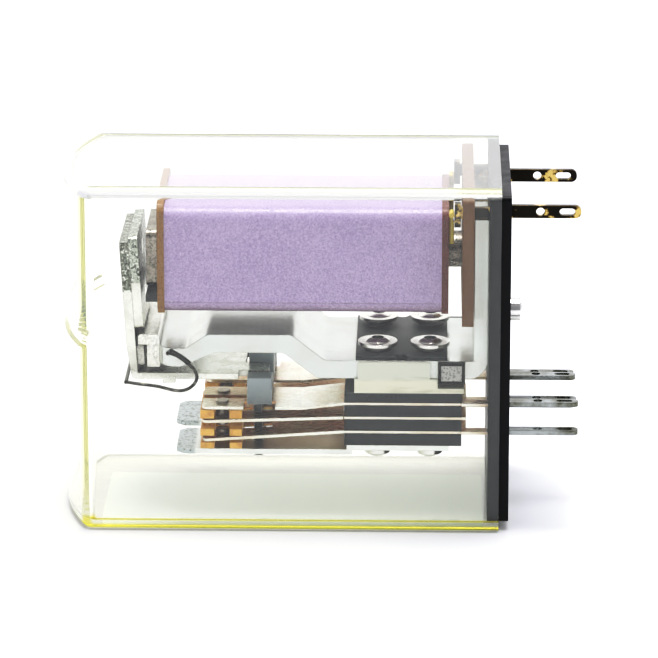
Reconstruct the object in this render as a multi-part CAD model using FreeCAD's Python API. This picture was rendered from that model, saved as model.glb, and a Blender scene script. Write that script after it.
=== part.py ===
import FreeCAD, Part

import math
import os

# Plug-in cradle relay lying on one narrow side, millimetres.
# X runs along the relay: closed end of the cap at -X, terminals at +X.
# Y runs across it. Z is up: the coil is above the contact stacks.
# The origin is the centre of the base plate's outer (seating) face.

Vec = FreeCAD.Vector
X_AXIS = Vec(1, 0, 0)
Y_AXIS = Vec(0, 1, 0)
Z_AXIS = Vec(0, 0, 1)

# ---------------------------------------------------------------- driving dimensions
FIT = 0.05                  # gap per side between the cap and the base plate

CAP_HALF_Y = 10.2
CAP_HALF_Z = 15.3
CAP_WALL = 0.7
CAP_MOUTH_X = -0.85
CAP_SIDE_END_X = -36.7      # where the flat side walls end
CAP_DOME = 2.2              # how far the closed end bulges beyond them
CAP_EDGE_RADIUS = 0.8
CLIP_GROOVE = 1.2           # width of the groove for a retaining clip
CLIP_GROOVE_Z = 1.75
CLIP_GROOVE_DEPTH = 0.3
LABEL_LENGTH = 33.1         # blank label on the side that the relay lies on
LABEL_WIDTH = 13.9
LABEL_MIDDLE_X = -18.75
LABEL_MIDDLE_Y = -2.45
LABEL = 0.08

BASE_THICKNESS = 1.85
STUD_RADIUS = 1.05
STUD_SHANK_RADIUS = 0.8
STUD_LENGTH = 1.15
STUD_Z = 2.0

CORE_Z = 7.5
CORE_RADIUS = 1.6
CORE_TAIL_RADIUS = 1.2       # end of the core, staked in the yoke
POLE_SHOE = 0.95
POLE_FACE_X = -31.5
POLE_HALF_Y = 4.0
POLE_HALF_Z = 2.5

COIL_LEFT_X = -29.85
COIL_RIGHT_X = -5.9
COIL_HALF_Y = 5.4
COIL_LOW_Z = 2.95
COIL_HIGH_Z = 12.35
COIL_RADIUS = 1.3
FLANGE = 0.6
LEFT_FLANGE_HALF_Y = 5.6
LEFT_FLANGE_HIGH_Z = 12.8
FLANGE_CORNER = 1.0
FLANGE_RIM = 0.08            # how far the right flange stands proud of the wrap
TUBE_HALF = 2.2             # half side of the bobbin's square tube
WRAP = 0.2

YOKE_HALF_Y = 6.75
YOKE_LEG_RIGHT_X = -BASE_THICKNESS
YOKE_LEG_LEFT_X = -3.1
YOKE_TOP_Z = 11.85
YOKE_DECK_Z = -0.75         # top of the level part over the stacks
YOKE_THICKNESS = 1.6
ARCH_TOP_Z = 1.5
FOOT_TOP_Z = 0.2
FOOT_END_X = -30.3
ARCH_TOP_X = (-26.1, -18.8)   # level top of the arch
ARCH_FOOT_X = (-28.0, -15.95) # where its two slopes meet the foot and the deck
ARCH_UNDER_X = (-25.5, -19.5)
ARCH_UNDER_FOOT_X = (-28.3, -16.6)
HEEL_RADIUS = 1.7
BEND_RADIUS = 0.9
FOOT_RADIUS = 1.6

TERMINAL_PLATE_LEFT_X = -4.15
TERMINAL_PLATE_RIGHT_X = -3.15
TERMINAL_PLATE_HALF_Y = 9.0
TERMINAL_PLATE_Z = (2.9, 14.2)
LUG_HALF_Y = 0.5
LUG_Z = (11.2, 13.25)
LUG_NECK_Z = (11.9, 12.9)
LEAD_RADIUS = 0.22
LEAD_Y = 4.9
LEAD_Z = (9.3, 12.1)
STOP_BLOCK_HALF_Y = 5.0
STOP_BLOCK_Z = (3.85, 4.5)

PIVOT_X = -31.55
PIVOT_Z = -1.0
OPEN_ANGLE = 3.35           # armature angle at rest, degrees away from the pole
ARMATURE_HALF_Y = 5.0
SHEET = 0.8                 # lever and armature plate thickness
RESIDUAL_GAP = 0.05         # left between armature and pole when closed
LEVER_TOP_Z = 9.25
ARMATURE_PLATE_Z = (1.45, 9.7)
ARMATURE_RIVET_Z = (3.4, 7.6)
ARMATURE_RIVET_RADIUS = 0.7
ARMATURE_RIVET_HEAD_RADIUS = 1.2
ARMATURE_RIVET_HEAD = 0.3
PAD = 0.66                  # thickness of the bearing pad on the armature
PAD_HALF_Y = 4.5
PAD_Z = (-1.9, -0.1)
BRACKET_HALF_Y = 5.2
BRACKET_BAR_LEFT_X = -32.2
BRACKET_BAR_Z = (0.1, 1.05)
BRACKET_LEG_LOW_Z = -1.9
BRACKET_LEG_GAP = 0.13      # between the armature's pivot line and the bracket's leg
ARM_TOP_Z = -2.5
ARM_THICKNESS = 0.55
ARM_END_X = -23.5
TONGUE_END_X = -20.9
TONGUE_HALF_Y = 4.0
HEEL_X = -32.75             # lower outer corner of the lever
HEEL_BEND_Z = -0.2          # the lever leans in below this height
SEAT_X = (-30.1, -29.0)     # nubs under the arm, inside the return spring's loops
SEAT = 0.35
RETURN_WIRE = 0.15          # radius of the return spring's wire
RETURN_BAR_RADIUS = 0.17    # its cross bar and pegs are a little thicker
RETURN_HALF_Y = 7.05        # its side loops stand just outside the yoke's edges
RETURN_PEG_X = -29.5        # its upper ends are pegged in the yoke's edges
RETURN_PEG_Z = -0.1
RETURN_LOOP = [             # (x, z) line of a side loop, from the peg round to the lever's heel
    (-28.9, -0.25),
    (-27.86, -0.96),
    (-27.3, -1.5),
    (-27.0, -2.22),
    (-27.27, -2.9),
    (-28.05, -3.42),
    (-30.2, -3.15),
    (-32.4, -2.85),
]
RETURN_BAR_X = -33.14       # its lower ends are joined by a bar behind the lever's heel
RETURN_BAR_Z = -2.71

COMB_LEFT_X = -22.7
COMB_RIGHT_X = -20.55
COMB_HALF_Y = 6.15
COMB_TOP_Z = -2.6
COMB_BOTTOM_Z = -4.2
COMB_EAR_Z = -4.95
POST_HALF_Y = 1.6           # post that stands up through the fork of the tongue
POST_TOP_Z = -1.5
PRE_TRAVEL = 0.3            # gap between tongue and comb at rest
LEG_X = -21.8
LEG_WIDTH = 0.75
LEG_TIP_Z = -10.15
SHOULDER_TOP_Z = -5.25
SHOULDER_LOW_Z = -5.92
SHOULDER_WIDTH = 2.6

STACK_OFFSET = 4.0          # stack centres are at +Y and -Y of this
STACK_WIDTH = 6.0
STACK_LEFT_X = -14.25
STACK_RIGHT_X = -4.1
STRIP = 0.25                # spring strip thickness
STRIP_PITCH = 1.275
BREAK_Z = -4.6              # centre heights of the three strips in the stack
MOVING_Z = BREAK_Z - STRIP_PITCH
MAKE_Z = MOVING_Z - STRIP_PITCH
BREAK_KNEE_X = -18.0         # the break springs dip as far as here, then run level
BREAK_DIP = 7.0             # degrees down towards the contacts
MOVING_SLOPE = 2.1
MAKE_SLOPE = 4.0
SPRING_TIP_X = -26.6
FORK_SLOT = 1.0
FORK_ROOT_X = -20.6
SPACER_LEFT_X = -13.4
SPACER_FRONT_X = -3.9
SPACER_LIP_X = (-13.1, -6.85) # lip in front of the yoke's edge
SPACER_STEP_Z = -3.15
STACK_TOP_Z = -3.6
STACK_BOTTOM_Z = -8.35
CLAMP_PLATE = 0.45
CLAMP_DROP = 0.4            # how far the free part of the clamp plate lies lower
CLAMP_STEP_X = -13.6
CLAMP_RIGHT_X = -5.2
CLAMP_LEFT_X = {"front": -28.85, "rear": -29.3}

CONTACT_X = -24.9
CONTACT_SPREAD = 1.5        # twin contacts sit this far either side of the centre
CONTACT_RADIUS = 0.55
CONTACT_BACK = 0.2
CONTACT_SHANK = 0.3
CONTACT_GAP = 0.4
GUIDE_LEFT_X = -26.75
GUIDE_RIGHT_X = -23.15
GUIDE_POCKET_X = (-25.55, -24.2)
GUIDE_LAYERS_Z = [(-6.02, -5.28), (-7.58, -7.0)]
GUIDE_LOW_LAYER_TOP_Z = -8.22
WEB_HALF_Y = 0.4             # webs and comb legs that pass through the fork slots

RIVET_X = (-11.4, -6.85)
RIVET_RADIUS = 0.7
RIVET_HEAD_RADIUS = 1.1
RIVET_HEAD = 0.38
RIVET_FOOT = 1.0
RIVET_BORE = 0.55
SHEET_UNDER_WASHERS = 0.3
SHEET_X = (-13.3, -5.35)
SHEET_HALF_Y = 6.4
SHEET_NOTCH_RADIUS = 0.55
WASHER_RADIUS = 1.7
WASHER = 0.3
COLLAR_RADIUS = 1.2          # collar that lifts each washer off the sheet
COLLAR = 0.45
NUT_X = -5.0                # framed blocks on both edges of the yoke
NUT_Z = -1.75
NUT_HALF_X = 1.17
NUT_HALF_Z = 0.98
NUT_RIM = 0.28
NUT_HEIGHT = 0.5

INSULATED_HOLE = 1.1        # clearance radius in the live strips

PIN_LENGTH = 6.0
PIN_OFFSET = 2.5            # from the stack centre
PIN_WIDTH = 1.2
PIN_THICKNESS = 0.4
COIL_PIN_Y = 6.25
COIL_PIN_Z = 12.5
COIL_PIN_WIDTH = 1.1
COIL_PIN_THICKNESS = 0.5
PIN_HOLE_X = 2.5
PIN_HOLE_RADIUS = 0.37
PIN_SLOT_X = 4.8
PIN_SLOT_LENGTH = 1.35
PIN_SLOT_WIDTH = 0.62


# ---------------------------------------------------------------- helpers
def box(x0, x1, y0, y1, z0, z1):
    return Part.makeBox(x1 - x0, y1 - y0, z1 - z0, Vec(x0, y0, z0))


def rod(start, radius, length, axis):
    return Part.makeCylinder(radius, length, start, axis)


def edges_along(shape, axis, keep=lambda edge: True):
    """Straight edges of a shape that run along an axis."""
    found = []
    for edge in shape.Edges:
        if edge.Curve.TypeId != "Part::GeomLine":
            continue
        start = edge.Vertexes[0].Point
        end = edge.Vertexes[-1].Point
        direction = end.sub(start)
        if direction.Length < 1e-6:
            continue
        direction.normalize()
        if abs(abs(direction.dot(axis)) - 1) < 1e-6 and keep(edge):
            found.append(edge)
    return found


def rounded_box(x0, x1, y0, y1, z0, z1, radius, axis=X_AXIS):
    block = box(x0, x1, y0, y1, z0, z1)
    return block.makeFillet(radius, edges_along(block, axis))


def prism_xz(points, y0, y1):
    """Closed outline of (x, z) points pushed from y0 to y1."""
    corners = [Vec(x, y0, z) for x, z in points]
    corners.append(corners[0])
    face = Part.Face(Part.makePolygon(corners))
    return face.extrude(Vec(0, y1 - y0, 0))


def turned(shape, x, z, degrees):
    """Copy turned about a line along Y: a positive angle takes +Z towards +X."""
    copy = shape.copy()
    copy.rotate(Vec(x, 0, z), Y_AXIS, degrees)
    return copy


def group(solids):
    return Part.makeCompound(solids)


def stack_centres():
    return {"front": -STACK_OFFSET, "rear": STACK_OFFSET}


# ---------------------------------------------------------------- casing
def cap_outline(inset):
    """Plan of the cap in X and Y: open at the mouth, domed at the closed end."""
    half = CAP_HALF_Y - inset
    side_x = CAP_SIDE_END_X
    apex_x = CAP_SIDE_END_X - CAP_DOME + inset
    mouth_front = Vec(CAP_MOUTH_X, -half, 0)
    mouth_rear = Vec(CAP_MOUTH_X, half, 0)
    front = Vec(side_x, -half, 0)
    rear = Vec(side_x, half, 0)
    dome = Part.Arc(front, Vec(apex_x, 0, 0), rear).toShape()
    lines = [
        Part.makeLine(rear, mouth_rear),
        Part.makeLine(mouth_rear, mouth_front),
        Part.makeLine(mouth_front, front),
    ]
    return Part.Face(Part.Wire([dome] + lines))


def cap_body(inset, radius):
    half_z = CAP_HALF_Z - inset
    body = cap_outline(inset).extrude(Vec(0, 0, 2 * half_z))
    body.translate(Vec(0, 0, -half_z))
    long_edges = edges_along(body, X_AXIS)
    end_edges = edges_along(body, Z_AXIS, lambda e: e.Vertexes[0].Point.x < CAP_MOUTH_X - 1)
    arc_edges = [e for e in body.Edges if e.Curve.TypeId == "Part::GeomCircle"]
    return body.makeFillet(radius, long_edges + end_edges + arc_edges)


def clip_groove():
    """Shallow groove round the closed end that takes a retaining clip."""
    band = cap_outline(-1).cut(cap_outline(CLIP_GROOVE_DEPTH)).extrude(Vec(0, 0, CLIP_GROOVE))
    band.translate(Vec(0, 0, CLIP_GROOVE_Z - CLIP_GROOVE / 2))
    end = box(CAP_SIDE_END_X - CAP_DOME - 2, CAP_SIDE_END_X + CAP_EDGE_RADIUS / 2,
              -CAP_HALF_Y - 2, CAP_HALF_Y + 2, -CAP_HALF_Z, CAP_HALF_Z)
    return band.common(end)


def label_field(grow, depth):
    """Space of the label, grown on each side, from the cap's lower face up to a depth."""
    half_x = LABEL_LENGTH / 2 + grow
    half_y = LABEL_WIDTH / 2 + grow
    return box(LABEL_MIDDLE_X - half_x, LABEL_MIDDLE_X + half_x, LABEL_MIDDLE_Y - half_y,
               LABEL_MIDDLE_Y + half_y, -CAP_HALF_Z, -CAP_HALF_Z + depth)


def cover_cap():
    shell = cap_body(0, CAP_EDGE_RADIUS).cut(cap_body(CAP_WALL, CAP_EDGE_RADIUS / 2))
    return shell.cut(clip_groove()).cut(label_field(0.02, LABEL))


def side_label():
    return label_field(0, LABEL)


def base_plate():
    half_y = CAP_HALF_Y - CAP_WALL - FIT
    half_z = CAP_HALF_Z - CAP_WALL - FIT
    plate = rounded_box(-BASE_THICKNESS, 0, -half_y, half_y, -half_z, half_z,
                        CAP_EDGE_RADIUS / 2)
    plate = plate.cut(rod(Vec(-BASE_THICKNESS, 0, STUD_Z), STUD_SHANK_RADIUS, BASE_THICKNESS,
                          X_AXIS))
    for blade in all_blades():
        plate = plate.cut(blade)
    return plate


def guide_stud():
    """Riveted stud: a thinner shank in the plate and a chamfered free end."""
    free = rod(Vec(0, 0, STUD_Z), STUD_RADIUS, STUD_LENGTH, X_AXIS)
    rim = [e for e in free.Edges
           if e.Curve.TypeId == "Part::GeomCircle" and e.BoundBox.XMin > STUD_LENGTH - 0.01]
    free = free.makeChamfer(0.15, rim)
    shank = rod(Vec(-BASE_THICKNESS, 0, STUD_Z), STUD_SHANK_RADIUS, BASE_THICKNESS, X_AXIS)
    return free.fuse(shank)


# ---------------------------------------------------------------- terminals
def blade(y, z, wide_y, wide_z):
    """Terminal blade through the base plate: rounded tip, a hole and a slot for wires."""
    across_y = wide_y > wide_z
    axis = Z_AXIS if across_y else Y_AXIS
    width = max(wide_y, wide_z)
    thickness = min(wide_y, wide_z)
    body = box(-BASE_THICKNESS, PIN_LENGTH, y - wide_y / 2, y + wide_y / 2,
               z - wide_z / 2, z + wide_z / 2)
    tip = edges_along(body, axis, lambda e: e.Vertexes[0].Point.x > PIN_LENGTH - 0.01)
    body = body.makeFillet(width / 2 - 0.05, tip)
    near = Vec(0, y, z).sub(axis * thickness)
    depth = 2 * thickness
    body = body.cut(rod(near + X_AXIS * PIN_HOLE_X, PIN_HOLE_RADIUS, depth, axis))
    end_reach = (PIN_SLOT_LENGTH - PIN_SLOT_WIDTH) / 2
    for side in (-1, 1):
        centre_x = PIN_SLOT_X + side * end_reach
        body = body.cut(rod(near + X_AXIS * centre_x, PIN_SLOT_WIDTH / 2, depth, axis))
    if across_y:
        window = box(PIN_SLOT_X - end_reach, PIN_SLOT_X + end_reach, y - PIN_SLOT_WIDTH / 2,
                     y + PIN_SLOT_WIDTH / 2, z - thickness, z + thickness)
    else:
        window = box(PIN_SLOT_X - end_reach, PIN_SLOT_X + end_reach, y - thickness,
                     y + thickness, z - PIN_SLOT_WIDTH / 2, z + PIN_SLOT_WIDTH / 2)
    return body.cut(window)


def coil_blade(side):
    return blade(side * COIL_PIN_Y, COIL_PIN_Z, COIL_PIN_THICKNESS, COIL_PIN_WIDTH)


def contact_blade(y, z):
    return blade(y, z, PIN_WIDTH, PIN_THICKNESS)


def all_blades():
    blades = [coil_blade(-1), coil_blade(1)]
    for centre in stack_centres().values():
        blades.append(contact_blade(centre - PIN_OFFSET, BREAK_Z))
        blades.append(contact_blade(centre + PIN_OFFSET, MOVING_Z))
        blades.append(contact_blade(centre - PIN_OFFSET, MAKE_Z))
    return blades


def coil_terminal(side):
    """Coil blade with a soldering lug hooked through the brown terminal plate."""
    y = side * COIL_PIN_Y
    half = COIL_PIN_THICKNESS / 2
    neck = box(TERMINAL_PLATE_LEFT_X - 0.5, -BASE_THICKNESS, y - half, y + half,
               LUG_NECK_Z[0], LUG_NECK_Z[1])
    lug = box(TERMINAL_PLATE_LEFT_X - 0.7, TERMINAL_PLATE_LEFT_X - 0.15, y - LUG_HALF_Y,
              y + LUG_HALF_Y, LUG_Z[0], LUG_Z[1])
    return coil_blade(side).fuse([neck, lug]).removeSplitter()


# ---------------------------------------------------------------- magnet
def yoke_outline():
    low = YOKE_DECK_Z - YOKE_THICKNESS
    return [
        (YOKE_LEG_RIGHT_X, YOKE_TOP_Z),
        (YOKE_LEG_RIGHT_X, low),
        (ARCH_UNDER_FOOT_X[1], low),
        (ARCH_UNDER_X[1], ARCH_TOP_Z - YOKE_THICKNESS),
        (ARCH_UNDER_X[0], ARCH_TOP_Z - YOKE_THICKNESS),
        (ARCH_UNDER_FOOT_X[0], FOOT_TOP_Z - YOKE_THICKNESS),
        (FOOT_END_X, FOOT_TOP_Z - YOKE_THICKNESS),
        (FOOT_END_X, FOOT_TOP_Z),
        (ARCH_FOOT_X[0], FOOT_TOP_Z + 0.05),
        (ARCH_TOP_X[0], ARCH_TOP_Z),
        (ARCH_TOP_X[1], ARCH_TOP_Z),
        (ARCH_FOOT_X[1], YOKE_DECK_Z),
        (YOKE_LEG_LEFT_X, YOKE_DECK_Z),
        (YOKE_LEG_LEFT_X, YOKE_TOP_Z),
    ]


def yoke():
    plate = prism_xz(yoke_outline(), -YOKE_HALF_Y, YOKE_HALF_Y)
    low = YOKE_DECK_Z - YOKE_THICKNESS

    def heel(edge):
        point = edge.Vertexes[0].Point
        return point.x > YOKE_LEG_RIGHT_X - 0.01 and point.z < low + 0.01

    def bends(edge):
        point = edge.Vertexes[0].Point
        return ARCH_UNDER_FOOT_X[0] - 0.1 < point.x < ARCH_FOOT_X[1] + 0.1

    def foot_corners(edge):
        return edge.Vertexes[0].Point.x < FOOT_END_X + 0.01

    plate = plate.makeFillet(HEEL_RADIUS, edges_along(plate, Y_AXIS, heel))
    plate = plate.makeFillet(BEND_RADIUS, edges_along(plate, Y_AXIS, bends))
    plate = plate.makeFillet(FOOT_RADIUS, edges_along(plate, Z_AXIS, foot_corners))
    for hole in rivet_shanks(0):
        plate = plate.cut(hole)
    tail_hole = rod(Vec(YOKE_LEG_LEFT_X, 0, CORE_Z), CORE_TAIL_RADIUS, 2, X_AXIS)
    return plate.cut(tail_hole)


def core():
    body = rod(Vec(POLE_FACE_X + POLE_SHOE, 0, CORE_Z), CORE_RADIUS,
               YOKE_LEG_LEFT_X - POLE_FACE_X - POLE_SHOE, X_AXIS)
    tail = rod(Vec(YOKE_LEG_LEFT_X, 0, CORE_Z), CORE_TAIL_RADIUS,
               YOKE_LEG_RIGHT_X - YOKE_LEG_LEFT_X, X_AXIS)
    return body.fuse(tail).removeSplitter()


def pole_shoe():
    return rounded_box(POLE_FACE_X, POLE_FACE_X + POLE_SHOE, -POLE_HALF_Y, POLE_HALF_Y,
                       CORE_Z - POLE_HALF_Z, CORE_Z + POLE_HALF_Z, 0.6)


def bobbin():
    left = rounded_box(COIL_LEFT_X - FLANGE, COIL_LEFT_X, -LEFT_FLANGE_HALF_Y, LEFT_FLANGE_HALF_Y,
                       COIL_LOW_Z - FLANGE_RIM, LEFT_FLANGE_HIGH_Z, FLANGE_CORNER)
    right = rounded_box(COIL_RIGHT_X, COIL_RIGHT_X + FLANGE, -COIL_HALF_Y, COIL_HALF_Y,
                        COIL_LOW_Z - FLANGE_RIM, COIL_HIGH_Z + FLANGE_RIM, FLANGE_CORNER)
    tube = rounded_box(COIL_LEFT_X, COIL_RIGHT_X, -TUBE_HALF, TUBE_HALF,
                       CORE_Z - TUBE_HALF, CORE_Z + TUBE_HALF, 0.4)
    body = left.fuse([tube, right])
    bore = rod(Vec(COIL_LEFT_X - 1, 0, CORE_Z), CORE_RADIUS, COIL_RIGHT_X - COIL_LEFT_X + 3, X_AXIS)
    return body.cut(bore).removeSplitter()


def coil_section(inset):
    return rounded_box(COIL_LEFT_X, COIL_RIGHT_X, -COIL_HALF_Y + inset, COIL_HALF_Y - inset,
                       COIL_LOW_Z + inset, COIL_HIGH_Z - inset, COIL_RADIUS - inset)


def coil_winding():
    tube = box(COIL_LEFT_X, COIL_RIGHT_X, -TUBE_HALF, TUBE_HALF,
               CORE_Z - TUBE_HALF, CORE_Z + TUBE_HALF)
    return coil_section(WRAP).cut(tube)


def coil_wrap():
    return coil_section(0).cut(coil_section(WRAP))


def coil_terminal_plate():
    plate = rounded_box(TERMINAL_PLATE_LEFT_X, TERMINAL_PLATE_RIGHT_X, -TERMINAL_PLATE_HALF_Y,
                        TERMINAL_PLATE_HALF_Y, TERMINAL_PLATE_Z[0], TERMINAL_PLATE_Z[1], 0.4)
    plate = plate.cut(rod(Vec(-5, 0, CORE_Z), CORE_RADIUS, 3, X_AXIS))
    for side in (-1, 1):
        plate = plate.cut(coil_terminal(side))
    return plate


def coil_leads():
    """Sleeved wire ends from the flange up to the two soldering lugs."""
    leads = []
    lead_x = COIL_RIGHT_X + FLANGE + LEAD_RADIUS
    low_z, high_z = LEAD_Z
    reach = COIL_PIN_Y - LEAD_Y
    for side in (-1, 1):
        start = Vec(lead_x, side * LEAD_Y, high_z)
        riser = rod(Vec(lead_x, side * LEAD_Y, low_z), LEAD_RADIUS, high_z - low_z, Z_AXIS)
        across = rod(start, LEAD_RADIUS, reach, Y_AXIS * side)
        elbow = Part.makeSphere(LEAD_RADIUS, start)
        leads.append(riser.fuse([across, elbow]).removeSplitter())
    return group(leads)


def stop_block():
    return rounded_box(POLE_FACE_X, COIL_LEFT_X - FLANGE, -STOP_BLOCK_HALF_Y, STOP_BLOCK_HALF_Y,
                       STOP_BLOCK_Z[0], STOP_BLOCK_Z[1], 0.2)


# ---------------------------------------------------------------- armature
def tilted(x, z):
    """Point (x, z) of the closed armature, moved to where it stands at rest."""
    angle = math.radians(-OPEN_ANGLE)
    dx = x - PIVOT_X
    dz = z - PIVOT_Z
    return (PIVOT_X + dx * math.cos(angle) + dz * math.sin(angle),
            PIVOT_Z - dx * math.sin(angle) + dz * math.cos(angle))


def tilted_at_height(x, height):
    """Point at a given height on the line that stands at x when the armature is closed."""
    angle = math.radians(OPEN_ANGLE)
    reach = (height - PIVOT_Z) / math.cos(angle)
    return (PIVOT_X + (x - PIVOT_X) / math.cos(angle) - reach * math.sin(angle), height)


def armature_lever():
    """Angle lever: a leaning leg, and a level arm that ends in a forked tongue."""
    outer_x = POLE_FACE_X - RESIDUAL_GAP - 2 * SHEET
    inner_x = outer_x + SHEET
    arm_low_z = ARM_TOP_Z - ARM_THICKNESS
    outline = [
        (HEEL_X, arm_low_z),
        (ARM_END_X, arm_low_z),
        (ARM_END_X, ARM_TOP_Z),
        tilted_at_height(inner_x, ARM_TOP_Z),
        tilted(inner_x, LEVER_TOP_Z),
        tilted(outer_x, LEVER_TOP_Z),
        tilted_at_height(outer_x, HEEL_BEND_Z),
    ]
    body = prism_xz(outline, -ARMATURE_HALF_Y, ARMATURE_HALF_Y)
    heel = edges_along(body, Y_AXIS,
                       lambda e: e.Vertexes[0].Point.z < arm_low_z + 0.01
                       and e.Vertexes[0].Point.x < HEEL_X + 0.01)
    body = body.makeFillet(0.4, heel)
    tongue = box(ARM_END_X, TONGUE_END_X, -TONGUE_HALF_Y, TONGUE_HALF_Y, arm_low_z, ARM_TOP_Z)
    notch = box(COMB_LEFT_X - 0.25, TONGUE_END_X, -POST_HALF_Y - 0.15, POST_HALF_Y + 0.15,
                arm_low_z, ARM_TOP_Z)
    lever = body.fuse(tongue.cut(notch))
    for side in (-1, 1):
        outer = side * ARMATURE_HALF_Y
        inner = side * (ARMATURE_HALF_Y - 0.8)
        seat = box(SEAT_X[0], SEAT_X[1], min(outer, inner), max(outer, inner), arm_low_z - SEAT,
                   arm_low_z)
        lever = lever.fuse(seat)
    lever = lever.removeSplitter()
    for hole in armature_rivet_shanks():
        lever = lever.cut(hole)
    return lever


def armature_plate():
    right_x = POLE_FACE_X - RESIDUAL_GAP
    plate = rounded_box(right_x - SHEET, right_x, -ARMATURE_HALF_Y, ARMATURE_HALF_Y,
                        ARMATURE_PLATE_Z[0], ARMATURE_PLATE_Z[1], 0.5)
    plate = turned(plate, PIVOT_X, PIVOT_Z, -OPEN_ANGLE)
    for hole in armature_rivet_shanks():
        plate = plate.cut(hole)
    return plate


def armature_rivet_shanks():
    outer_x = POLE_FACE_X - RESIDUAL_GAP - 2 * SHEET
    shanks = []
    for z in ARMATURE_RIVET_Z:
        shank = rod(Vec(outer_x, 0, z), ARMATURE_RIVET_RADIUS, 2 * SHEET, X_AXIS)
        shanks.append(turned(shank, PIVOT_X, PIVOT_Z, -OPEN_ANGLE))
    return shanks


def armature_rivets():
    outer_x = POLE_FACE_X - RESIDUAL_GAP - 2 * SHEET
    rivets = []
    head_x = outer_x - ARMATURE_RIVET_HEAD
    for z, shank in zip(ARMATURE_RIVET_Z, armature_rivet_shanks()):
        head = rod(Vec(head_x, 0, z), ARMATURE_RIVET_HEAD_RADIUS, ARMATURE_RIVET_HEAD, X_AXIS)
        rim = [e for e in head.Edges
               if e.Curve.TypeId == "Part::GeomCircle" and e.BoundBox.XMax < head_x + 0.1]
        head = head.makeFillet(0.2, rim)
        head = turned(head, PIVOT_X, PIVOT_Z, -OPEN_ANGLE)
        rivets.append(head.fuse(shank).removeSplitter())
    return group(rivets)


def armature_bearing_pad():
    left_x = POLE_FACE_X - RESIDUAL_GAP - SHEET
    pad = rounded_box(left_x, left_x + PAD, -PAD_HALF_Y, PAD_HALF_Y, PAD_Z[0], PAD_Z[1], 0.2, Y_AXIS)
    pad = turned(pad, PIVOT_X, PIVOT_Z, -OPEN_ANGLE)
    return pad


def bearing_bracket():
    """Angle on the end of the yoke: the armature rocks against its standing face."""
    bar = box(BRACKET_BAR_LEFT_X, FOOT_END_X, -BRACKET_HALF_Y, BRACKET_HALF_Y, BRACKET_BAR_Z[0],
              BRACKET_BAR_Z[1])
    leg = box(PIVOT_X + BRACKET_LEG_GAP, FOOT_END_X, -BRACKET_HALF_Y, BRACKET_HALF_Y,
              BRACKET_LEG_LOW_Z, BRACKET_BAR_Z[0])
    bracket = bar.fuse(leg).removeSplitter()
    ends = edges_along(bracket, Y_AXIS, lambda e: e.Vertexes[0].Point.z > BRACKET_BAR_Z[1] - 0.05)
    return bracket.makeFillet(0.3, ends)


def bent_wire(path, y, radius):
    """Round wire that follows a smooth line through (x, z) points at one y."""
    centre = Part.BSplineCurve()
    centre.interpolate([Vec(x, y, z) for x, z in path])
    start = centre.value(centre.FirstParameter)
    along = centre.tangent(centre.FirstParameter)[0]
    ring = Part.Face(Part.Wire([Part.makeCircle(radius, start, along)]))
    return Part.Wire([centre.toShape()]).makePipe(ring)


def return_spring():
    """Wire spring: two side loops from pegs in the yoke to a bar behind the lever's heel."""
    path = [(RETURN_PEG_X, RETURN_PEG_Z)] + RETURN_LOOP + [(RETURN_BAR_X, RETURN_BAR_Z)]
    reach = RETURN_HALF_Y + RETURN_WIRE
    pieces = []
    for side in (-1, 1):
        start = Vec(RETURN_PEG_X, side * reach, RETURN_PEG_Z)
        pieces.append(rod(start, RETURN_BAR_RADIUS, reach - YOKE_HALF_Y, Y_AXIS * -side))
        pieces.append(bent_wire(path, side * RETURN_HALF_Y, RETURN_WIRE))
    bar = rod(Vec(RETURN_BAR_X, -reach, RETURN_BAR_Z), RETURN_BAR_RADIUS, 2 * reach, Y_AXIS)
    spring = bar.fuse(pieces)
    return spring.removeSplitter()


# ---------------------------------------------------------------- comb
def comb_leg(centre):
    half = LEG_WIDTH / 2
    shoulder = box(LEG_X - half, LEG_X + half, centre - SHOULDER_WIDTH / 2,
                   centre + SHOULDER_WIDTH / 2, SHOULDER_LOW_Z, SHOULDER_TOP_Z)
    web = box(LEG_X - half, LEG_X + half, centre - WEB_HALF_Y, centre + WEB_HALF_Y, LEG_TIP_Z, COMB_BOTTOM_Z)
    return web.fuse(shoulder)


def drive_comb():
    """Insulating comb: a head under the armature tongue and one leg into each stack."""
    head = box(COMB_LEFT_X, COMB_RIGHT_X, -COMB_HALF_Y, COMB_HALF_Y, COMB_BOTTOM_Z, COMB_TOP_Z)
    head = head.makeFillet(0.2, edges_along(head, Z_AXIS))
    recess_half = TONGUE_HALF_Y + 0.15
    floor_z = ARM_TOP_Z - ARM_THICKNESS - PRE_TRAVEL - 0.05
    recess = box(COMB_LEFT_X - 1, COMB_RIGHT_X + 1, -recess_half, recess_half, floor_z, 0)
    post = box(COMB_LEFT_X, COMB_RIGHT_X, -POST_HALF_Y, POST_HALF_Y, floor_z, POST_TOP_Z)
    comb = head.cut(recess).fuse(post)
    for side in (-1, 1):
        outer = side * COMB_HALF_Y
        inner = side * (COMB_HALF_Y - 0.75)
        ear = box(COMB_LEFT_X, COMB_RIGHT_X, min(outer, inner), max(outer, inner),
                  COMB_EAR_Z, COMB_BOTTOM_Z + 0.5)
        comb = comb.fuse(ear)
    for centre in stack_centres().values():
        comb = comb.fuse(comb_leg(centre))
    return comb.removeSplitter()


# ---------------------------------------------------------------- contact stacks
def rivet_shanks(clearance):
    shanks = []
    for centre in stack_centres().values():
        for x in RIVET_X:
            shanks.append(rod(Vec(x, centre, STACK_BOTTOM_Z - 2), RIVET_RADIUS + clearance,
                              12, Z_AXIS))
    return shanks


def drilled(shape, clearance=0):
    for shank in rivet_shanks(clearance):
        shape = shape.cut(shank)
    return shape


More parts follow.
